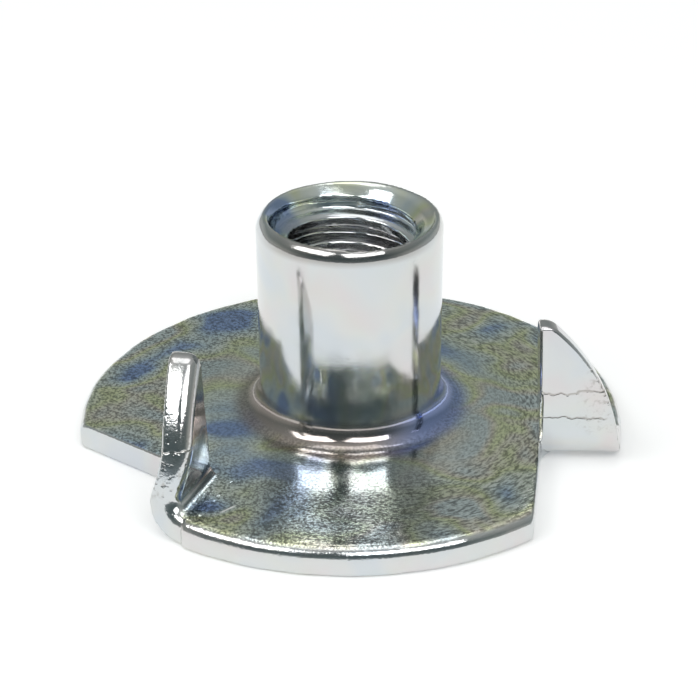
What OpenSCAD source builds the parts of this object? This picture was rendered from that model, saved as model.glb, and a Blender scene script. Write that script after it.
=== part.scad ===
// Tee nut in one piece of zinc-plated sheet steel: a round flange, a barrel drawn up out of its
// middle with a thread inside, and three prongs cut from the rim and folded up beside the barrel.
// Millimetres. Origin in the middle of the flange's underside, +Z up the barrel, first prong towards +X.

/* [Flange] */
// diameter of the round flange
flange_d = 15.9; // [14:0.1:20]
// thickness of the sheet
sheet_t = 0.8; // [0.6:0.05:1]
// radius rolled over by the punch on the upper edge of the sheet
edge_roll = 0.35; // [0.1:0.05:0.45]
// radius on the lower edge of the sheet
edge_low = 0.1; // [0.05:0.05:0.15]

/* [Barrel] */
// outside diameter of the barrel
barrel_d = 5.3; // [5:0.1:6]
// height from the flange's underside to the barrel's mouth
total_h = 6.9; // [5.5:0.1:10]
// radius on the outer lip of the mouth
lip_r = 0.5; // [0.4:0.05:0.6]
// fillet where the barrel leaves the flange
root_r = 0.65; // [0.3:0.05:1]
// slope of the shallow flare around the barrel's foot
flare_angle = 6; // [2:0.5:10]
// width of that flare, from the barrel's wall outward
flare_w = 1.95; // [1.5:0.05:2.4]

/* [Bore] */
// diameter of the bore, measured over the crests of its thread
bore_d = 3.4; // [3.3:0.05:3.6]
// widening of the bore's radius at the mouth
mouth_w = 0.7; // [0.4:0.05:0.75]
// depth of the countersink at the mouth
mouth_h = 0.75; // [0.3:0.05:1]
// radius where the sheet is drawn into the bore from below
entry_r = 0.8; // [0.3:0.05:1]

/* [Prongs] */
// how many prongs stand around the flange
prong_n = 3; // [2:1:3]
// height of a prong's tip above the flange's underside
prong_h = 4.45; // [3.5:0.05:6]
// width of a prong's blunt tip
tip_w = 0.36; // [0.2:0.02:0.6]
// width of the strip that becomes a prong, measured in from the rim
prong_w = 2.27; // [1.8:0.05:2.5]
// how far the folded strip draws in from the rim
prong_inset = 0.28; // [0.2:0.02:0.4]
// distance of the fold from the flange's middle line, towards the notch
fold_at = 0.7; // [0.3:0.05:1]
// how far a prong's straight edge stands in past the line of the cut
set_in = 0.1; // [0.05:0.05:0.2]
// radius of a prong's curved back
back_r = 6.35; // [4.5:0.05:9]
// radius inside the fold
fold_r = 0.4; // [0.2:0.05:0.6]
// slant of the cut that frees a prong
cut_tilt = 4.7; // [1:0.1:8]
// slant of a prong's straight edge once it is folded up and trued
edge_tilt = 2.2; // [0.5:0.1:6]
// radius in the inner corner of the notch that a prong leaves
corner_r = 1.2; // [0.8:0.05:1.8]

/* [Hidden] */
$fn = 96;
eps = 1;
lap = 0.3;
// fillets bite this little into the faces that they join, which keeps their edges clean
bite = 0.997;
flange_r = flange_d / 2;
barrel_r = barrel_d / 2;
bore_r = bore_d / 2;
mouth_r = bore_r + mouth_w;
// centre of the lip's round, which ends at the rim of the countersink
lip_x = barrel_r - lip_r;
lip_z = total_h - sqrt(pow(lip_r, 2) - pow(mouth_r - lip_x, 2));
flare_r = barrel_r + flare_w;
// centre of the fillet at the barrel's foot, which joins the barrel's wall and the flare
root_x = barrel_r + bite * root_r;
root_z = sheet_t + (flare_r - root_x) * tan(flare_angle) + bite * root_r / cos(flare_angle);
root_on_flare = [root_x - bite * root_r * sin(flare_angle), root_z - bite * root_r * cos(flare_angle)];
// the cut runs past the axis at this distance
cut_at = flange_r - prong_w;
prong_rim = flange_r - prong_inset;
fold_z = sheet_t + fold_r;
// length of the sheet's middle layer around the fold
fold_len = (fold_r + sheet_t / 2) * PI / 2;
// the upright part of a prong, measured out from the axis and up from the end of the fold
prong_in = (cut_at - (fold_at + fold_len) * sin(cut_tilt)) / cos(cut_tilt) - set_in;
tip_up = prong_h - fold_z;
tip_in = prong_in - tip_up * tan(edge_tilt);
// centre of the curved back, which runs from the end of the fold to the blunt tip
back_foot = prong_rim - 0.02;
back_tip = tip_in + tip_w;
half_back = sqrt(pow(back_foot - back_tip, 2) + pow(tip_up, 2)) / 2;
back_k = sqrt(pow(back_r, 2) - pow(half_back, 2)) / half_back / 2;
back_x = (back_foot + back_tip) / 2 - back_k * tip_up;
back_y = tip_up / 2 - back_k * (back_foot - back_tip);
// centre of the rounded corner of a notch
corner_y = -fold_at - bite * corner_r;
corner_x = (cut_at + bite * corner_r + corner_y * sin(cut_tilt)) / cos(cut_tilt);
far = 2 * flange_r;

// distance of the slanted cut from the axis, at a distance y across it
function cut_x(y) = (cut_at + y * sin(cut_tilt)) / cos(cut_tilt);

// half section of a sheet from its middle to its rim, with the corners of the rim rounded
module sheet_rim(rim, low, high)
{
    difference() {
        square([rim, sheet_t]);
        translate([rim - low, 0])
            square([2 * low, low]);
        translate([rim - high, sheet_t - high])
            square([2 * high, 2 * high]);
    }
    translate([rim - low, low])
        circle(low);
    translate([rim - high, sheet_t - high])
        circle(high);
}

// half section of the barrel's wall with its rounded lip
module barrel_wall()
{
    square([lip_x, lip_z + lip_r]);
    square([barrel_r, lip_z]);
    translate([lip_x, lip_z])
        circle(lip_r);
}

// half section of the flare and of the fillet above it
module barrel_foot()
{
    polygon([[0, 0], [flare_r, 0], [flare_r, sheet_t], [0, sheet_t + flare_r * tan(flare_angle)]]);
    difference() {
        polygon([[0, sheet_t], [root_on_flare.x, sheet_t], root_on_flare, [root_x, root_z], [0, root_z]]);
        translate([root_x, root_z])
            circle(root_r);
    }
}

// half section of everything that the bore takes away
module bore_space()
{
    translate([-bore_r, -eps])
        square([2 * bore_r, total_h + 2 * eps]);
    // the countersink's slope is carried on past the rim, above the metal
    polygon([
        [0, total_h - mouth_h],
        [bore_r, total_h - mouth_h],
        [mouth_r + mouth_w, total_h + mouth_h],
        [0, total_h + mouth_h]
    ]);
    difference() {
        square([bore_r + entry_r, entry_r]);
        translate([bore_r + entry_r, entry_r])
            circle(entry_r);
    }
}

// the flange and the barrel, turned as one section
module body()
{
    rotate_extrude()
        difference() {
            union() {
                sheet_rim(flange_r, edge_low, edge_roll);
                barrel_wall();
                barrel_foot();
            }
            bore_space();
        }
}

// the opening that one prong leaves in the flange
module notch()
{
    translate([0, 0, -eps])
        linear_extrude(sheet_t + 2 * eps)
            polygon([[cut_x(-fold_at), -fold_at], [cut_x(-far), -far], [far, -far], [far, -fold_at]]);
}

// the rounded inner corner of that opening
module notch_corner()
{
    linear_extrude(sheet_t)
        difference() {
            polygon([
                [cut_x(lap - fold_at) - lap, lap - fold_at],
                [cut_x(corner_y) - lap, corner_y],
                [corner_x, corner_y],
                [corner_x, lap - fold_at]
            ]);
            translate([corner_x, corner_y])
                circle(corner_r);
        }
}

// section through the strip that is folded up, seen from the inside of the fold
module strip()
{
    difference() {
        sheet_rim(prong_rim, edge_roll, edge_low);
        square([prong_in, sheet_t]);
    }
}

// the strip turning up out of the flange, with a short lap inside the flange
module fold()
{
    rotate([-90, 0, 0])
        translate([0, fold_r, 0])
            linear_extrude(lap)
                strip();
    rotate([0, 90, 0])
        rotate([180, 0, 0])
            rotate_extrude(angle = 90)
                translate([fold_r, 0])
                    rotate(-90)
                        strip();
}

// the upright part of a prong, cut from a sheet with a rounded rim
module blade()
{
    rotate([90, 0, 0])
        translate([0, 0, fold_r])
            intersection() {
                translate([back_x, back_y, 0])
                    rotate_extrude()
                        sheet_rim(back_r, edge_roll, edge_low);
                linear_extrude(sheet_t)
                    polygon([
                        [prong_in, 0],
                        [far, 0],
                        [far, tip_up],
                        [tip_in, tip_up]
                    ]);
            }
}

// one prong with the corner of its notch
module prong()
{
    notch_corner();
    translate([0, -fold_at, fold_z]) {
        fold();
        blade();
    }
}

// repeats what it is given once for each prong
module each_prong()
{
    for (i = [0 : prong_n - 1])
        rotate([0, 0, 360 / prong_n * i])
            children();
}

module tee_nut()
{
    color([0.74, 0.77, 0.78])
        union() {
            difference() {
                body();
                each_prong()
                    notch();
            }
            each_prong()
                prong();
        }
}

tee_nut();
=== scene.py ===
# %% [markdown]
# # A pronged tee nut, dressed in zinc
#
# A tee nut is pressed from one blank of sheet steel: a round flange, a threaded barrel drawn up
# out of its middle, and prongs that are slit from the rim and folded up to bite into wood.
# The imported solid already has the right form, so this lesson keeps that form and adds what a
# press and a plating bath leave behind: soft edges, a real thread, small dents and a zinc finish.

import math

import bpy
import numpy as np
from mathutils import Matrix, Vector


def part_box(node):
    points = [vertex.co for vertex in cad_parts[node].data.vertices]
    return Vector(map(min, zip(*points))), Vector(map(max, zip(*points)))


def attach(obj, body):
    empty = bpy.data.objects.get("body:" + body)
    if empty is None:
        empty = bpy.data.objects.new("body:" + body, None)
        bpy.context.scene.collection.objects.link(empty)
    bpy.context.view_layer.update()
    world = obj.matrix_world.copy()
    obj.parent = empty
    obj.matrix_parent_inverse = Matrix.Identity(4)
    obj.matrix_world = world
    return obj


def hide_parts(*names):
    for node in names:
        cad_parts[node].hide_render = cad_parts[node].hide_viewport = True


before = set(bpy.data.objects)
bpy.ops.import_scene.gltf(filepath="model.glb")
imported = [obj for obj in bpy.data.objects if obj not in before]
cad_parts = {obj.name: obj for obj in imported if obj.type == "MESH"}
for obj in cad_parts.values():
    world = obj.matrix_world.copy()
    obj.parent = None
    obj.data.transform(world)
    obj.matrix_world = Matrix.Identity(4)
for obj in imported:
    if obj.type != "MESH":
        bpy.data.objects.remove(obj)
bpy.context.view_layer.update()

# %% [markdown]
# ## Sizes
#
# All shapes below are worked out in millimetres, because a millimetre is a handy unit on a part
# this small, and the finished mesh is scaled to metres once, at the end. The outer sizes come from
# the frame. The others are the driving dimensions of the part, repeated here under the same names.

# %% Driving sizes in millimetres
MM = 0.001
_, solid_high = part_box("tee_nut")
flange_r = solid_high[0] / MM
total_h = solid_high[2] / MM
sheet_t = 0.8
edge_roll = 0.35
edge_low = 0.1
barrel_r = 2.65
lip_r = 0.5
root_r = 0.65
prong_n = 3
print(f"flange {2 * flange_r:.2f} mm across, {total_h:.2f} mm high, {prong_n} prongs")

# %% [markdown]
# ## Form as distance
#
# Pressed metal has no hard edges: every bend, shear and draw leaves a radius. Modelling each
# radius with bevels would mean cutting and joining many meshes. A signed distance does it more
# simply. It is a function that is negative inside the metal, zero on its skin and positive outside.
# Two shapes meet with one of the helpers below, which also round the edge where they meet.


# %% Helpers that join distances
def rounded_both(a, b, radius):
    """Where both shapes are, with a rounded outer edge."""
    corner = np.hypot(np.maximum(radius + a, 0), np.maximum(radius + b, 0))
    return np.minimum(-radius, np.maximum(a, b)) + corner


def rounded_either(a, b, radius):
    """Where either shape is, with a fillet in the inner corner."""
    corner = np.hypot(np.maximum(radius - a, 0), np.maximum(radius - b, 0))
    return np.maximum(radius, np.minimum(a, b)) - corner


def soft_ramp(v, width):
    """Zero below 0 and v above it, with a smooth bend between."""
    return 0.5 * (v + np.sqrt(v * v + width * width)) - 0.5 * width


def smooth_step(v, low, high):
    """0 below low, 1 above high, eased between."""
    t = np.clip((v - low) / (high - low), 0, 1)
    return t * t * (3 - 2 * t)


print("edge test:", rounded_both(np.array([-0.1]), np.array([-0.1]), 0.3))

# %% [markdown]
# ## Flange and barrel
#
# Drawing the barrel out of the flat blank pulls the sheet up round its foot, so the flange rises
# in a shallow dish before the fillet. The rim is a shear edge: rolled over on the side where the
# punch went in, nearly sharp on the other. Both are surfaces of revolution, so the distance needs
# only the radius and the height.

# %% Flange and barrel distances
flare_out = 5.1
flare_in = 4.1
flare_slope = math.tan(math.radians(6))
flare_bend = 0.3
# the barrel is this much higher before the countersink takes the top of its lip away
lip_crown = 0.067


def flange(r, z):
    rise = soft_ramp(flare_out - r, flare_bend) - soft_ramp(flare_in - r, flare_bend)
    return rounded_both(r - flange_r, z - sheet_t - flare_slope * rise, edge_roll)


def barrel(r, z):
    return rounded_both(r - barrel_r, z - total_h - lip_crown, lip_r)


def drawn_blank(r, z):
    above = rounded_either(flange(r, z), barrel(r, z), root_r)
    return rounded_both(above, -z, edge_low)


print(f"dish rises {flare_slope * (flare_out - flare_in):.2f} mm at the barrel")

# %% [markdown]
# ## Threaded bore
#
# The bore is entered from below through a wide rounded mouth, where the sheet was drawn upwards,
# and leaves through a countersink at the top. Between them runs a right-hand vee thread. A
# screw modifier could sweep one, but it would then have to be cut into the wall. Here the wall's
# radius is simply a function of height and angle, so the thread is true geometry.

# %% Bore radius with its thread
bore_r = 1.7
thread_major_r = 2.083
thread_pitch = 0.794
# where the thread starts, as a share of one turn
thread_turn = 0.85
# shares of the wave at which a groove begins and at which it is full
groove_start, groove_full = 0.12, 0.95
# radius where the thread runs out into the entry and the mouth
groove_round = 0.06
entry_r = 0.8
mouth_w = 0.7
mouth_h = 0.75
mouth_bend = 0.05
# the grooves make the wall steeper than a true distance, so it is scaled down
wall_scale = 0.75


def thread_depth(angle, z):
    turn = z / thread_pitch - angle / (2 * math.pi) + thread_turn
    wave = 0.5 - 0.5 * np.cos(2 * math.pi * turn)
    return (thread_major_r - bore_r) * smooth_step(wave, groove_start, groove_full)


def bore_wall(angle, z):
    below = np.clip(entry_r - z, 0, entry_r)
    entry = entry_r - np.sqrt(np.maximum(entry_r**2 - below**2, 0))
    mouth = soft_ramp((z - total_h + mouth_h) * mouth_w / mouth_h, mouth_bend)
    widened = np.maximum(entry, mouth)
    return bore_r - rounded_either(-thread_depth(angle, z), -widened, groove_round)


def bore_metal(r, angle, z):
    """Negative in the metal round the bore."""
    return wall_scale * (bore_wall(angle, z) - r)


print(f"thread {2 * bore_r:.2f} to {2 * thread_major_r:.2f} mm, {thread_pitch} mm pitch")

# %% [markdown]
# ## Prongs
#
# Each prong is a flap of the flange. Its inner edge is a straight shear cut, its outer edge is
# the old rim, and it is folded up by a right angle about a radial line. The flap is easiest to
# describe flat: `along` runs from the fold to the tip and `across` through the sheet. Bending is
# then only a change of coordinates, and the sheet keeps its thickness round the fold.

# %% Flap coordinates
fold_r = 0.4
fold_z = sheet_t + fold_r
fold_mid_r = fold_r + sheet_t / 2
fold_len = fold_mid_r * math.pi / 2


def flap_coordinates(y, z):
    radius = np.hypot(y, fold_z - z)
    angle = np.arctan2(-y, fold_z - z)
    bend_along, bend_across = fold_mid_r * angle, radius - fold_mid_r
    along = np.where(z > fold_z, fold_len + z - fold_z, np.where(y > 0, -y, bend_along))
    across = np.where(z > fold_z, -y - fold_mid_r, np.where(y > 0, sheet_t / 2 - z, bend_across))
    return along, across


print(f"fold uses {fold_len:.2f} mm of sheet")

# %% [markdown]
# The outline of the flap: a cut line that leans a few degrees, and a back edge that is an arc from
# the foot of the prong to its blunt tip. An arc through two points with a given radius is found
# from its chord, so the prong's height and the widths of its foot and tip can drive it.

# %% Prong outline
prong_h = 4.45
prong_w = 2.27
prong_inset = 0.28
tip_w = 0.36
set_in = 0.1
fold_at = 0.7
cut_tilt = math.radians(4.7)
edge_tilt = math.radians(2.2)
back_r = 6.35
# the back starts this far inside the strip's rim
back_ease = 0.02
cut_at = flange_r - prong_w
prong_in = (cut_at - (fold_at + fold_len) * math.sin(cut_tilt)) / math.cos(cut_tilt) - set_in
back_foot = flange_r - prong_inset - back_ease
fold_rim = math.sqrt(flange_r**2 - (fold_len + fold_at) ** 2)
tip_along = fold_len + prong_h - fold_z
tip_at = prong_in - (prong_h - fold_z) * math.tan(edge_tilt)


def arc_centre(foot, tip, radius):
    """Centre of the arc through two points, on the side away from the tip's outside."""
    middle = (Vector(foot) + Vector(tip)) / 2
    chord = Vector(tip) - Vector(foot)
    out = Vector((chord.y, -chord.x)).normalized()
    return middle - out * math.sqrt(radius**2 - (chord.length / 2) ** 2)


back_centre = arc_centre((back_foot, fold_len), (tip_at + tip_w, tip_along), back_r)
print(f"back arc centre at {back_centre.x:.2f}, {back_centre.y:.2f} mm")

# %% [markdown]
# The side of the flap that was the top of the sheet keeps the rim's roll, and the sheared inner
# edge stays crisp. Lifting the flap leaves a notch in the flange, with the same straight cut and a
# rounded inner corner.

# %% Prong and notch distances
shear_edge = 0.06
tip_round = 0.14
corner_r = 1.2
# how far the flap runs back into the flange, so that the two overlap
lap = 0.3
# keeps the root real beyond the end of the rim
least_square = 1


def prong(x, y, z):
    along, across = flap_coordinates(y + fold_at, z)
    cut = (prong_in - x) * math.cos(edge_tilt) - (along - fold_len) * math.sin(edge_tilt)
    arc = np.hypot(x - back_centre.x, along - back_centre.y) - back_r
    rim = np.sqrt(np.maximum(flange_r**2 - (along + fold_at) ** 2, least_square))
    rim = rim - (fold_rim - back_foot) * smooth_step(along, 0, fold_len)
    back = np.where(along > fold_len, arc, x - rim)
    back = rounded_both(back, along - tip_along, tip_round)
    rolled = rounded_both(back, -across - sheet_t / 2, edge_roll)
    blade = rounded_both(rolled, across - sheet_t / 2, edge_low)
    blade = rounded_both(blade, cut, shear_edge)
    return np.maximum(blade, -lap - along)


def notch(x, y, fold_y):
    """Negative where the flap was lifted out of the flange."""
    cut = cut_at - (x * math.cos(cut_tilt) - y * math.sin(cut_tilt))
    return rounded_both(cut, fold_y + fold_at, corner_r)


print(f"prong {prong_h} mm high, notch corner {corner_r} mm")

# %% [markdown]
# Prongs come off the press a little uneven: each is twisted, leaned and shifted by its own small
# amount. Moving a point back by that amount before it is measured moves the prong forwards.

# %% Unevenness of the prongs
prong_twist = np.radians([4.0, 7.0, 22.0])
prong_lean = np.tan(np.radians([0.0, 1.0, 4.0]))
prong_shift = np.array([0.2, 0.0, 0.0])
lean_bend = 0.4
# the twist grows from this share at the foot to the whole between these heights
foot_twist = 0.4
twist_low, twist_high = 0.4, 2.6


def straighten(x, y, z, number):
    n = number.astype(int)
    y = y + prong_shift[n] + prong_lean[n] * soft_ramp(z - fold_z, lean_bend)
    share = foot_twist + (1 - foot_twist) * smooth_step(z, twist_low, twist_high)
    angle = -prong_twist[n] * share
    dx, dy = x - prong_in, y + fold_at + fold_r
    c, s = np.cos(angle), np.sin(angle)
    return prong_in + c * dx - s * dy, c * dy + s * dx - fold_at - fold_r


print("twist, degrees:", np.degrees(prong_twist).round(1))

# %% [markdown]
# ## The whole nut
#
# The three prongs share one shape, so every point is first turned into the sector of its nearest
# prong, and one prong is evaluated for all of them. A ripple of up to two hundredths of a
# millimetre keeps the rim and the lip from looking turned. Its waves share no common rhythm.

# %% Ripple and sectors
sector = 2 * math.pi / prong_n
sector_start = -math.pi / 2


def to_first_prong(x, y):
    angle = np.arctan2(y, x)
    number = np.floor((angle - sector_start) / sector)
    turned = angle - number * sector
    r = np.hypot(x, y)
    return r * np.cos(turned), r * np.sin(turned), np.mod(number, prong_n)


def ripple(x, y, z):
    slow = np.sin(1.9 * x + 0.7 * np.sin(1.3 * y)) * np.sin(1.7 * y - 0.9 * z + 0.4)
    quick = np.sin(4.3 * x - 1.9 * y + 2.1 * z) * np.sin(3.7 * y + 1.1 * x - 1.3 * z)
    return 0.6 * slow + 0.4 * quick


print(f"each prong has a sector of {math.degrees(sector):.0f} degrees")

# %% Whole distance
# the rim and the lip ripple most: radii and heights between which that sets in
rim_low, rim_high = 7.2, 7.8
lip_low, lip_high = 6.2, 6.8
ripple_plain = 0.003
ripple_edges = 0.014
mouth_edge = 0.08
notch_edge = 0.07
prong_fillet = 0.03


def tee_nut(x, y, z):
    r, angle = np.hypot(x, y), np.arctan2(y, x)
    edges = np.maximum(smooth_step(r, rim_low, rim_high), smooth_step(z, lip_low, lip_high))
    uneven = (ripple_plain + ripple_edges * edges) * ripple(x, y, z)
    blank = drawn_blank(r, z) + uneven
    metal = rounded_both(blank, bore_metal(r, angle, z), mouth_edge)
    px, py, number = to_first_prong(x, y)
    tx, ty = straighten(px, py, z, number)
    metal = rounded_both(metal, -notch(px, py, ty), notch_edge)
    return rounded_either(metal, prong(tx, ty, z) + uneven, prong_fillet)


inside_flange = np.array([[5.0], [0.0], [sheet_t / 2]])
print("distance inside the flange, mm:", tee_nut(*inside_flange).round(3))

# %% [markdown]
# ## Skin
#
# To turn the distance into a mesh, space is cut into small cubes. Each cube that the surface
# crosses gets one vertex, and each grid edge that it crosses gets one face between the four cubes
# round it. This is called surface nets. It gives even, closed quads that suit reflections.

# %% Sample the distance on a grid
grid_step = 0.091
# not a whole number of steps, so that no grid plane lies in the flat underside
margin = 1.8 * grid_step


def grid_line(low, high):
    count = int(math.ceil((high - low + 2 * margin) / grid_step))
    return low - margin + grid_step * np.arange(count + 1)


line_x = grid_line(-flange_r, flange_r)
line_y = grid_line(-flange_r, flange_r)
line_z = grid_line(0.0, total_h)
field = tee_nut(
    *(axis.astype(np.float32) for axis in np.meshgrid(line_x, line_y, line_z, indexing="ij"))
)
print("grid", field.shape, "inside", int((field < 0).sum()))


# %% Surface nets
def crossing_edges(field, axis):
    """Grid edges along one axis whose ends lie on opposite sides, and where each is crossed."""
    low = np.take(field, range(field.shape[axis] - 1), axis=axis)
    high = np.take(field, range(1, field.shape[axis]), axis=axis)
    found = np.argwhere((low < 0) != (high < 0))
    a, b = low[tuple(found.T)], high[tuple(found.T)]
    return found, a / (a - b), a < 0


def surface_net(field):
    """Vertices in grid units, and quads that face outwards."""
    shape = np.array(field.shape)
    sums, quads = [], []
    for axis in range(3):
        found, part, leaving = crossing_edges(field, axis)
        point = found.astype(float)
        point[:, axis] += part
        side_a, side_b = (axis + 1) % 3, (axis + 2) % 3
        cells = []
        for da, db in ((-1, -1), (0, -1), (0, 0), (-1, 0)):
            cell = found.copy()
            cell[:, side_a] += da
            cell[:, side_b] += db
            cells.append(np.ravel_multi_index(cell.T, shape))
            sums.append((cells[-1], point))
        quad = np.stack(cells, axis=1)
        quad[~leaving] = quad[~leaving][:, ::-1]
        quads.append(quad)
    cell_ids = np.concatenate([ids for ids, _ in sums])
    points = np.concatenate([p for _, p in sums])
    used, index = np.unique(cell_ids, return_inverse=True)
    weight = np.bincount(index)
    vertices = np.stack([np.bincount(index, points[:, i]) / weight for i in range(3)], axis=1)
    return vertices, np.searchsorted(used, np.concatenate(quads))


grid_vertices, quads = surface_net(field)
grid_origin = np.array([line_x[0], line_y[0], line_z[0]])
vertices = grid_origin + grid_step * grid_vertices
print(len(vertices), "vertices,", len(quads), "quads")

# %% [markdown]
# The net is close to the surface but not on it. The slope of the distance says which way and how
# far to move each vertex. Between the moves the vertices are spread evenly along the surface.
# The same slope gives exact normals, which is what keeps the reflections clean.

# %% Settle the net on the surface
settle_rounds = 3
spread_rounds = 3
spread_share = 0.4
longest_move = 0.5 * grid_step
# where the slope is fainter than this, a move is not made longer for it
least_steep = 0.05


def slope(p, reach=0.004):
    columns = []
    for i in range(3):
        step = np.zeros(3)
        step[i] = reach
        columns.append((tee_nut(*(p + step).T) - tee_nut(*(p - step).T)) / (2 * reach))
    return np.stack(columns, axis=1)


def settle(p):
    g = slope(p)
    steep = np.maximum((g * g).sum(axis=1), least_steep)
    move = (tee_nut(*p.T) / steep)[:, None] * g
    length = np.linalg.norm(move, axis=1, keepdims=True)
    return p - move * np.minimum(1, longest_move / np.maximum(length, 1e-9))


def spread(p, quads):
    """Moves each vertex part of the way to the middle of its neighbours."""
    ends = np.concatenate([np.stack([quads[:, i], quads[:, (i + 1) % 4]], 1) for i in range(4)])
    count = np.bincount(ends[:, 0], minlength=len(p))
    total = [np.bincount(ends[:, 0], p[ends[:, 1], i], minlength=len(p)) for i in range(3)]
    return p + spread_share * (np.stack(total, 1) / count[:, None] - p)


for _ in range(settle_rounds):
    vertices = settle(vertices)
for _ in range(spread_rounds):
    vertices = settle(settle(spread(vertices, quads)))
normals = slope(vertices)
normals /= np.linalg.norm(normals, axis=1, keepdims=True)
print("largest distance left, mm:", float(np.abs(tee_nut(*vertices.T)).max()))

# %% [markdown]
# ## The object
#
# Vertices and faces become a mesh in metres, and the mesh becomes an object in the scene. Smooth
# shading alone would guess the normals from the faces, so the exact ones are set instead. The
# frame is then told that the skin rides on the part's only body and is drawn instead of its solid.

# %% Make the mesh object
nut_mesh = bpy.data.meshes.new("tee_nut_skin")
nut_mesh.from_pydata((vertices * MM).tolist(), [], quads.tolist())
nut_mesh.shade_smooth()
nut_mesh.normals_split_custom_set_from_vertices(normals.tolist())
nut = bpy.data.objects.new("tee_nut_skin", nut_mesh)
bpy.context.scene.collection.objects.link(nut)
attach(nut, "root")
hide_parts("tee_nut")
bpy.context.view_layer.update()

# %% [markdown]
# ## Zinc plating
#
# Bright zinc is a mirror with a fine pebbled grain. A clear chromate film over it gives faint
# patches of straw, olive and blue. The metal is a Principled shader at full metallic; noise
# drives the tint, the roughness and the bump, all from object coordinates in millimetres.
# Nodes are made by small helpers, so that a chain of them reads like a sum.


# %% Node helpers
def add(tree, kind, **settings):
    node = tree.nodes.new(kind)
    for name, value in settings.items():
        setattr(node, name, value)
    return node


def join(tree, source, target):
    tree.links.new(source, target)


def feed(tree, socket, value):
    """Sets a socket to a number or a colour, or links it."""
    if isinstance(value, (int, float)):
        socket.default_value = value
    elif isinstance(value, tuple):
        socket.default_value = (*value, 1.0)
    else:
        join(tree, value, socket)


def math_node(tree, operation, a, b=0.0):
    node = add(tree, "ShaderNodeMath", operation=operation)
    feed(tree, node.inputs[0], a)
    feed(tree, node.inputs[1], b)
    return node.outputs[0]


def vector_node(tree, operation, vector, other=(0, 0, 0)):
    """A sum with vectors. Lengths, distances and dot products come out as one number."""
    node = add(tree, "ShaderNodeVectorMath", operation=operation)
    join(tree, vector, node.inputs[0])
    node.inputs[1].default_value = other
    one_number = operation in ("LENGTH", "DISTANCE", "DOT_PRODUCT")
    return node.outputs["Value" if one_number else "Vector"]


print("node helpers ready")


# %% Helpers for masks
def times(tree, a, b):
    return math_node(tree, "MULTIPLY", a, b)


def plus(tree, a, b):
    return math_node(tree, "ADD", a, b)


def largest(tree, first, *others):
    for other in others:
        first = math_node(tree, "MAXIMUM", first, other)
    return first


def remap(tree, value, zone, to_low, to_high):
    """Eases from one number to another while a value goes through a zone."""
    node = add(tree, "ShaderNodeMapRange", interpolation_type="SMOOTHSTEP")
    names = ("From Min", "From Max", "To Min", "To Max")
    for name, number in zip(names, (*zone, to_low, to_high)):
        node.inputs[name].default_value = number
    join(tree, value, node.inputs["Value"])
    return node.outputs["Result"]


def rise(tree, value, zone, top=1.0):
    return remap(tree, value, zone, 0.0, top)


def fall(tree, value, zone, top=1.0):
    return remap(tree, value, zone, top, 0.0)


print("mask helpers ready")

# %% [markdown]
# The finish changes from place to place, so the shader first measures where it is: the place in
# the plan, the radius, the height and the turn round the barrel. A mask is 1 where a finish
# belongs, 0 where it doesn't, and fades in a zone between two radii or heights in millimetres.
# Masks could also be painted, but these follow the part's sizes and need no image.

# %% Zinc material and its measures
zinc = bpy.data.materials.new("zinc_plated_steel")
zinc.use_nodes = True
tree = zinc.node_tree
shader = tree.nodes["Principled BSDF"]
shader.inputs["Metallic"].default_value = 1.0
coordinates = add(tree, "ShaderNodeTexCoord")
in_mm = add(tree, "ShaderNodeVectorMath", operation="SCALE")
in_mm.inputs["Scale"].default_value = 1 / MM
join(tree, coordinates.outputs["Object"], in_mm.inputs[0])
place = in_mm.outputs[0]
plan = vector_node(tree, "MULTIPLY", place, (1, 1, 0))
radius = vector_node(tree, "LENGTH", plan)
split = add(tree, "ShaderNodeSeparateXYZ")
join(tree, place, split.inputs[0])
to_right, to_back, height = split.outputs
turn = math_node(tree, "ARCTAN2", to_back, to_right)
print("measures ready in", zinc.name)

# %% Masks for the flange, the sheet and the bore
# the share of a normal that points up or down, and heights and radii in mm
level_zone = (0.75, 0.97)
above_flange_zone = (1.0, 1.6)
underside_zone = (0.2, 0.6)
underside_share = 0.35
sheet_zone = (0.5, 0.8)
bore_zone = (2.3, 2.6)
facing = add(tree, "ShaderNodeNewGeometry")
tilt = add(tree, "ShaderNodeSeparateXYZ")
join(tree, facing.outputs["Normal"], tilt.inputs[0])
level = math_node(tree, "ABSOLUTE", tilt.outputs["Z"])
on_flange = times(tree, rise(tree, level, level_zone), fall(tree, height, above_flange_zone))
on_flange = times(tree, on_flange, remap(tree, height, underside_zone, underside_share, 1.0))
above_sheet = rise(tree, height, sheet_zone)
outside_bore = rise(tree, radius, bore_zone)
print("masks ready")

# %% [markdown]
# The chromate film is thicker in some rings and patches than in others, and its colour changes
# with its thickness, as on oil. Noise and a sine of the radius give the thickness, and a few
# drops that dried on the flange make it thinner or thicker round them.


# %% Film thickness
def noise(tree, vector, scale, detail=2.0, rough=0.5, warp=0.0):
    node = add(tree, "ShaderNodeTexNoise")
    node.inputs["Scale"].default_value = scale
    node.inputs["Detail"].default_value = detail
    node.inputs["Roughness"].default_value = rough
    node.inputs["Distortion"].default_value = warp
    join(tree, vector, node.inputs["Vector"])
    return node.outputs["Fac"]


patch_swing, patch_offset = 1.4, 0.2
ring_rate, ring_swing = 2.6, 0.045
patches = noise(tree, place, 0.42, detail=1.5, rough=0.5, warp=0.5)
rings = math_node(tree, "SINE", times(tree, radius, ring_rate))
film = math_node(tree, "SUBTRACT", times(tree, patches, patch_swing), patch_offset)
film = plus(tree, film, times(tree, rings, ring_swing))
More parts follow.
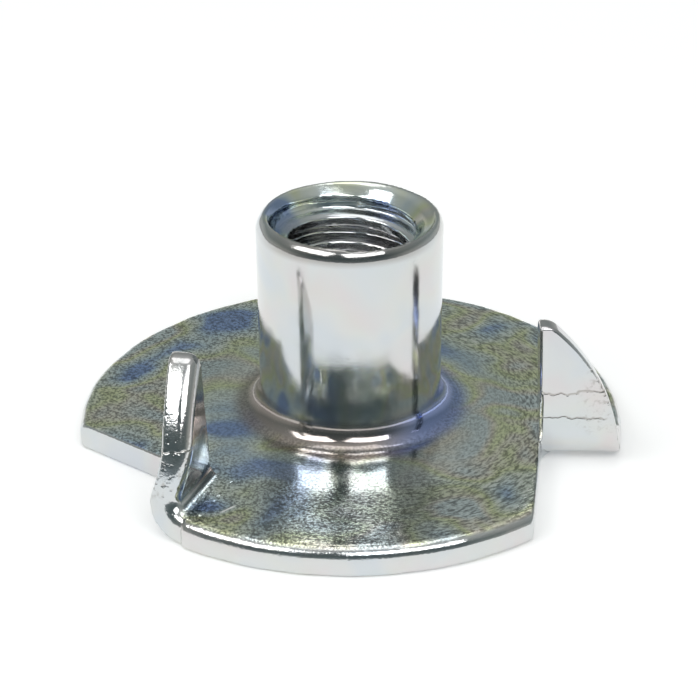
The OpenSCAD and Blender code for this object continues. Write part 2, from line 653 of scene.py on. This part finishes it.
# where drops of the bath dried: x, y and radius in the plan, to half a millimetre
thin_spots = [(-4.0, 5.5, 1.5), (-3.5, -4.0, 1.5), (3.0, 0.0, 1.5), (-2.0, 0.5, 1.0)]
thick_spots = [(-4.5, 2.5, 2.5), (-2.5, -6.5, 1.0), (3.5, -5.5, 1.5), (4.0, 2.0, 2.0)]
thinner, thicker = -0.25, 0.1
for spots, change in ((thin_spots, thinner), (thick_spots, thicker)):
    for spot_x, spot_y, spot_r in spots:
        apart = vector_node(tree, "DISTANCE", plan, (spot_x, spot_y, 0))
        film = plus(tree, film, fall(tree, apart, (0.0, spot_r), change))
print("drops on the film:", len(thin_spots) + len(thick_spots))


# %% Film colours
def ramp(tree, value, stops):
    node = add(tree, "ShaderNodeValToRGB")
    elements = node.color_ramp.elements
    while len(elements) < len(stops):
        elements.new(1.0)
    for element, (position, colour) in zip(elements, stops):
        element.position = position
        element.color = (*colour, 1.0)
    join(tree, value, node.inputs["Fac"])
    return node.outputs["Color"]


film_stops = [
    (0.26, (0.33, 0.45, 0.76)),
    (0.35, (0.60, 0.71, 0.79)),
    (0.43, (0.76, 0.83, 0.81)),
    (0.51, (0.82, 0.87, 0.75)),
    (0.59, (0.82, 0.86, 0.54)),
    (0.67, (0.86, 0.80, 0.69)),
    (0.76, (0.74, 0.81, 0.82)),
]
pale_stops = [
    (0.35, (0.66, 0.63, 0.635)),
    (0.5, (0.65, 0.66, 0.66)),
    (0.65, (0.61, 0.645, 0.68)),
]
film_colour = ramp(tree, film, film_stops)
pale = ramp(tree, noise(tree, place, 0.5, detail=2.0, warp=0.4), pale_stops)
print("film colours:", len(film_stops), "pale tints:", len(pale_stops))

# %% [markdown]
# The film lies on the flange and in the barrel's mouth, and only a trace is left on the barrel and
# the prongs. Towards the front of the flange most of it is left off, and the darker bare zinc there
# is painted shade: it stands for the dark room in front that the flange mirrors.


# %% Film over the zinc
def blend_colour(tree, factor, a, b, mode="MIX"):
    node = add(tree, "ShaderNodeMix", data_type="RGBA", blend_type=mode)
    for socket, value in zip((node.inputs[0], node.inputs[6], node.inputs[7]), (factor, a, b)):
        feed(tree, socket, value)
    return node.outputs[2]


mouth_height_zone, mouth_radius_zone = (6.0, 6.4), (2.3, 2.5)
# painted shade: less film and darker bare zinc towards the front of the flange
dark_front_at, dark_front_zone = (0.2, -5.2, 0), (1.2, 3.6)
film_at_dark_front, film_kept, film_trace = 0.3, 0.95, 0.06
flange_zinc = (0.49, 0.54, 0.55)
in_mouth = times(
    tree, rise(tree, height, mouth_height_zone, 0.8), fall(tree, radius, mouth_radius_zone)
)
from_dark_front = vector_node(tree, "DISTANCE", plan, dark_front_at)
film_left = times(tree, on_flange, remap(tree, from_dark_front, dark_front_zone, film_at_dark_front, film_kept))
strong = largest(tree, film_left, in_mouth, film_trace)
bare_zinc = blend_colour(tree, on_flange, pale, flange_zinc)
filmed = blend_colour(tree, strong, bare_zinc, film_colour)
print("film ready")

# %% [markdown]
# At the barrel's foot and lip the colour is darkened: brown at the front of the lip and on one
# side of the foot, blue on the foot's other side. The brown is painted shade, the dark room that
# the fillet and the lip's outer round mirror; the blue is partly the film's own tint and partly a
# painted reflection.

# %% Painted shade and tint at the foot and the lip
# painted shade: brown on the fillet and the lip's front; the blue is part film tint, part painted
# reflection
foot_painted_shade, foot_blue_tint_and_reflection, lip_painted_shade = (0.36, 0.30, 0.27), (0.25, 0.34, 0.72), (0.34, 0.31, 0.29)
foot_height_zone, foot_radius_zone, blue_zone = (1.3, 1.8), (3.1, 3.7), (0.6, 2.4)
lip_height_zone, lip_radius_zone, lip_front_zone = (6.35, 6.6), (2.15, 2.35), (-2.3, -0.8)
at_foot = times(
    tree, fall(tree, height, foot_height_zone, 0.8), fall(tree, radius, foot_radius_zone)
)
at_foot = times(tree, at_foot, times(tree, above_sheet, outside_bore))
foot_shade_and_tint = blend_colour(tree, rise(tree, to_right, blue_zone), foot_painted_shade, foot_blue_tint_and_reflection)
foot_shaded = blend_colour(tree, at_foot, filmed, foot_shade_and_tint)
at_lip = times(tree, rise(tree, height, lip_height_zone, 0.65), rise(tree, radius, lip_radius_zone))
at_lip = times(tree, at_lip, fall(tree, to_back, lip_front_zone))
tint = blend_colour(tree, at_lip, foot_shaded, lip_painted_shade)
print("stain ready")

# %% [markdown]
# The grain is a crust of zinc crystals, finest on the flat flange, and the flange is rougher where
# the crust is fuller. In colour the crust is darker in its hollows and brighter than the metal on
# its
# crystals: partly the grain's own tone, partly painted shade and painted glints in place of the
# sparkle that the bump alone does not give. On one side the sheet also keeps the arcs of the tool
# that pressed it flat, so the grain there is drawn out round the barrel.

# %% Crust
pebbles = noise(tree, place, 13.0, detail=2.0, rough=0.6, warp=0.3)
# waves of the drawn-out grain per mm of radius and per radian of turn
arc_rate, arc_turn_rate = 14.0, 26.0
arc_side_zone = (0.0, 3.5)
polar = add(tree, "ShaderNodeCombineXYZ")
join(tree, times(tree, radius, arc_rate), polar.inputs[0])
join(tree, times(tree, turn, arc_turn_rate), polar.inputs[1])
join(tree, height, polar.inputs[2])
arcs = noise(tree, polar.outputs[0], 1.0, detail=2.5, rough=0.6, warp=0.4)
crust_mix = add(tree, "ShaderNodeMix", data_type="FLOAT")
join(tree, remap(tree, to_right, arc_side_zone, 0.1, 0.75), crust_mix.inputs[0])
join(tree, pebbles, crust_mix.inputs[2])
join(tree, arcs, crust_mix.inputs[3])
crust = crust_mix.outputs[0]
print("crust ready")

# %% Grain in colour and roughness
# painted shade in the crust's hollows and painted glints on its crystals, over the grain's own tone
hollow_zone, hollow_painted_shade, crystal_painted_glint = (0.38, 0.60), 0.42, 1.25
crusted_zone, grained_zone = (4.7, 5.7), (4.2, 5.4)
polish_zone, smooth_rough, dull_rough, crust_rough = (0.3, 0.7), 0.08, 0.16, 0.05
grain_shade_and_glint = remap(tree, crust, hollow_zone, hollow_painted_shade, crystal_painted_glint)
shade = add(tree, "ShaderNodeCombineColor")
for socket in shade.inputs:
    join(tree, grain_shade_and_glint, socket)
shaded = blend_colour(tree, 1.0, tint, shade.outputs[0], "MULTIPLY")
crusted = times(tree, on_flange, remap(tree, radius, crusted_zone, 0.25, 1.0))
grained = times(tree, on_flange, remap(tree, radius, grained_zone, 0.5, 1.0))
coloured = blend_colour(tree, grained, tint, shaded)
polish = noise(tree, place, 1.1, detail=4.0)
rough = remap(tree, polish, polish_zone, smooth_rough, dull_rough)
rough = plus(tree, rough, times(tree, crusted, crust_rough))
print("grain ready")

# %% [markdown]
# The same crust gives the bump. It is full on the flange, nearly so along the sheared rim, weaker
# on the prongs, and faint on the barrel, where drawing has ironed it smooth. Slow waves under it
# bend the reflections a little, as on any pressed sheet.

# %% Relief of the crust
rim_radius_zone, rim_height_zone = (7.0, 7.5), (0.85, 1.1)
prong_radius_zone, prong_height_zone = (4.6, 5.2), (0.9, 1.4)
rim_crust, prong_crust, lip_crust, least_crust = 0.8, 0.35, 0.2, 0.08
on_rim = times(
    tree, rise(tree, radius, rim_radius_zone, rim_crust), fall(tree, height, rim_height_zone)
)
on_prong = times(tree, rise(tree, radius, prong_radius_zone), rise(tree, height, prong_height_zone))
on_lip = rise(tree, height, lip_height_zone, lip_crust)
prong_share = times(tree, on_prong, prong_crust)
amount = largest(tree, crusted, on_rim, prong_share, on_lip, least_crust)
waves = noise(tree, place, 1.2, detail=1.0)
relief = plus(tree, times(tree, crust, amount), waves)
print("relief ready")

# %% [markdown]
# Folding stretches the outside of the sheet, and the brittle plating tears there. Two torn lines
# run across the outer face of each prong, and small pits follow its back edge.

# %% Tears and pits on the prongs
tear_wander = 0.5
tear_half_width = 0.045
tear_fade = 0.06
pit_zone, pit_radius_zone, pit_most = (0.50, 0.75), (6.7, 7.2), 0.7
scar_colour, scar_share, scar_depth = (0.27, 0.24, 0.21), 0.6, 1.1
wander = noise(tree, place, 1.6, detail=3.0)
gaps = noise(tree, place, 1.1, detail=1.0)


def tear(at_height, least):
    """A thin wandering line round the prongs at one height, broken where the noise is low."""
    path = plus(tree, height, times(tree, wander, -tear_wander))
    away = math_node(tree, "SUBTRACT", path, at_height - tear_wander / 2)
    line = fall(tree, math_node(tree, "ABSOLUTE", away), (0.0, tear_half_width))
    return times(tree, line, rise(tree, gaps, (least, least + tear_fade)))


torn = largest(tree, tear(2.4, 0.30), tear(1.6, 0.52))
pits = rise(tree, noise(tree, place, 6.0, detail=2.0), pit_zone, pit_most)
pits = times(tree, pits, rise(tree, radius, pit_radius_zone))
scars = times(tree, largest(tree, torn, pits), on_prong)
dulled = blend_colour(tree, times(tree, scars, scar_share), coloured, scar_colour)
relief = math_node(tree, "SUBTRACT", relief, times(tree, scars, scar_depth))
print("tears ready")

# %% [markdown]
# Nuts knock together in the plating barrel, which leaves a few short bright scratches. Each is a
# thin strip in the plan, found from the distance along and across its own direction.

# %% Scratches
scratch_half_length = 0.36
scratch_half_width = 0.045
# a scratch is whole in this share of its length and width, and fades beyond
scratch_core = 0.4
scratch_colour, scratch_rough = (0.95, 0.95, 0.94), 0.4


def scratch(x, y, heading):
    """A mask for one straight scratch on the flange, with its middle at x, y."""
    from_middle = vector_node(tree, "SUBTRACT", plan, (x, y, 0))
    c, s = math.cos(math.radians(heading)), math.sin(math.radians(heading))
    mask = times(tree, on_flange, above_sheet)
    for axis, half in (((c, s, 0), scratch_half_length), ((-s, c, 0), scratch_half_width)):
        away = math_node(tree, "ABSOLUTE", vector_node(tree, "DOT_PRODUCT", from_middle, axis))
        mask = times(tree, mask, fall(tree, away, (scratch_core * half, half)))
    return mask


scratches = [(-3.0, -6.0, 45), (6.0, -2.5, 100), (1.5, 6.5, -20)]
scratched = largest(tree, *(scratch(x, y, heading) for x, y, heading in scratches))
bare = blend_colour(tree, scratched, dulled, scratch_colour)
rough = plus(tree, rough, times(tree, scratched, scratch_rough))
join(tree, bare, shader.inputs["Base Color"])
join(tree, rough, shader.inputs["Roughness"])
print("scratches:", len(scratches))

# %% [markdown]
# The relief goes into the shader as a bump, which only turns the normals. The crust is less than
# a hundredth of a millimetre deep, far too fine to be worth its own triangles.

# %% Bump
bump_depth = 0.0085
bump = add(tree, "ShaderNodeBump")
bump.inputs["Strength"].default_value = 1.0
bump.inputs["Distance"].default_value = bump_depth * MM
join(tree, relief, bump.inputs["Height"])
join(tree, bump.outputs["Normal"], shader.inputs["Normal"])
nut_mesh.materials.append(zinc)
print("zinc nodes:", len(tree.nodes))

# %% [markdown]
# ## Floor and light
#
# A mirror shows its surroundings, so the studio matters as much as the metal. The floor is white
# paper: it lights the barrel from below and keeps a soft shadow. Its own glow, seen by the camera
# and in reflections, lifts the paper to white without putting more light on the part. Far from the
# part the paper is painted darker, as painted shade, so that the metal mirrors a darker floor
# there.

# %% Paper floor
floor_size = 4.0
floor_drop = 0.02 * MM
bpy.ops.mesh.primitive_circle_add(
    vertices=96, radius=floor_size / 2, fill_type="NGON", location=(0, 0, -floor_drop)
)
floor = bpy.context.object
floor.name = "paper_floor"
print("floor", floor_size, "m across")

# %% Paper
glow = 0.24
paper_white, far_painted_shade = (0.92, 0.92, 0.92), (0.0, 0.0, 0.0)
# painted shade: distances in m between which the paper and its glow darken, and the share of them
# left beyond
shade_fade_zone, shade_fade_share = (0.15, 0.45), 0.35
paper = bpy.data.materials.new("white_paper")
paper.use_nodes = True
tree = paper.node_tree
sheet = tree.nodes["Principled BSDF"]
sheet.inputs["Roughness"].default_value = 0.9
sheet.inputs["Specular IOR Level"].default_value = 0.0
sheet.inputs["Emission Color"].default_value = (1, 1, 1, 1)
rays = add(tree, "ShaderNodeLightPath")
seen_by = ("Is Camera Ray", "Is Glossy Ray", "Is Transmission Ray")
seen = largest(tree, *(rays.outputs[name] for name in seen_by))
from_part = vector_node(tree, "LENGTH", add(tree, "ShaderNodeTexCoord").outputs["Object"])
painted_falloff = remap(tree, from_part, shade_fade_zone, 1.0, shade_fade_share)
join(tree, times(tree, seen, times(tree, painted_falloff, glow)), sheet.inputs["Emission Strength"])
join(tree, blend_colour(tree, painted_falloff, far_painted_shade, paper_white), sheet.inputs["Base Color"])
floor.data.materials.append(paper)
print("paper nodes:", len(tree.nodes))

# %% [markdown]
# Two soft boxes stand at the front, left and right, and a fainter one hangs overhead. Area lamps
# are used because a mirror shows a lamp's shape: a panel gives the broad bright bands that a
# photographer's soft box gives, where a point lamp would give only sparks.


# %% Soft boxes
def soft_box(name, azimuth, elevation, distance, width, height, level):
    """A lamp panel that faces the part. Azimuth 0 is the camera's side and 90 the right.

    A panel of level 1 looks white.
    """
    a, e = math.radians(azimuth), math.radians(elevation)
    towards = Vector((math.sin(a) * math.cos(e), -math.cos(a) * math.cos(e), math.sin(e)))
    data = bpy.data.lights.new(name, "AREA")
    data.shape = "RECTANGLE"
    data.size, data.size_y = width, height
    data.energy = level * math.pi * width * height
    lamp = bpy.data.objects.new(name, data)
    lamp.location = towards * distance
    lamp.rotation_euler = towards.to_track_quat("Z", "Y").to_euler()
    lamp.visible_camera = False
    bpy.context.scene.collection.objects.link(lamp)


for name, azimuth in (("left_box", -51.0), ("right_box", 27.0)):
    soft_box(name, azimuth, elevation=48.0, distance=0.60, width=0.42, height=0.23, level=3.6)
soft_box("ceiling_box", 180.0, elevation=84.0, distance=0.70, width=0.42, height=0.40, level=1.0)

# %% [markdown]
# The rest of the room is a grey that changes with height: lighter at the horizon and overhead,
# darker between, and dimmer behind the camera. The dark parts matter, because they are what makes
# bright metal look like metal and not like white paint.

# %% Room light
wall_stops = [
    (0.00, (0.46, 0.47, 0.46)),
    (0.14, (0.42, 0.44, 0.42)),
    (0.34, (0.24, 0.27, 0.26)),
    (0.70, (0.34, 0.36, 0.35)),
    (1.00, (0.60, 0.61, 0.60)),
]
front_zone, front_dim = (-0.75, -0.2), (0.38, 0.43, 0.46)
room = bpy.data.worlds.new("studio_room")
bpy.context.scene.world = room
room.use_nodes = True
tree = room.node_tree
background = tree.nodes["Background"]
background.inputs["Strength"].default_value = 1.0
direction = add(tree, "ShaderNodeTexCoord")
parts = add(tree, "ShaderNodeSeparateXYZ")
join(tree, direction.outputs["Generated"], parts.inputs[0])
walls = ramp(tree, parts.outputs["Z"], wall_stops)
front = fall(tree, parts.outputs["Y"], front_zone)
dimmed = blend_colour(tree, 1.0, walls, front_dim, "MULTIPLY")
join(tree, blend_colour(tree, front, walls, dimmed), background.inputs["Color"])
print("room nodes:", len(tree.nodes))

# %% [markdown]
# ## Camera
#
# The picture was taken from close by, so the perspective is strong. The lens follows from the
# picture's width in pixels and its focal length in pixels. Distances are given in flange radii,
# since the fit to a picture knows no millimetres.

# %% Camera
image_px = 698
focal_px = 1937.9
camera_azimuth = math.radians(3.0)
camera_elevation = math.radians(27.449)
camera_roll = math.radians(-0.35)
camera_distance = 7.09905 * flange_r * MM
aim_x, aim_z = -0.00435, 0.32634
target = Vector((aim_x * flange_r * MM, 0.0, aim_z * flange_r * MM))

camera_data = bpy.data.cameras.new("camera")
camera_data.sensor_width = 36.0
camera_data.lens = focal_px / image_px * camera_data.sensor_width
camera_data.clip_start = 0.001
camera = bpy.data.objects.new("camera", camera_data)
bpy.context.scene.collection.objects.link(camera)
towards = Vector(
    (
        math.sin(camera_azimuth) * math.cos(camera_elevation),
        -math.cos(camera_azimuth) * math.cos(camera_elevation),
        math.sin(camera_elevation),
    )
)
aim = towards.to_track_quat("Z", "Y").to_matrix().to_4x4()
camera.matrix_world = (
    Matrix.Translation(target + towards * camera_distance)
    @ aim
    @ Matrix.Rotation(camera_roll, 4, "Z")
)
bpy.context.scene.camera = camera
bpy.context.scene.view_settings.view_transform = "Standard"
print(f"lens {camera_data.lens:.1f} mm, {1000 * camera_distance:.1f} mm away")
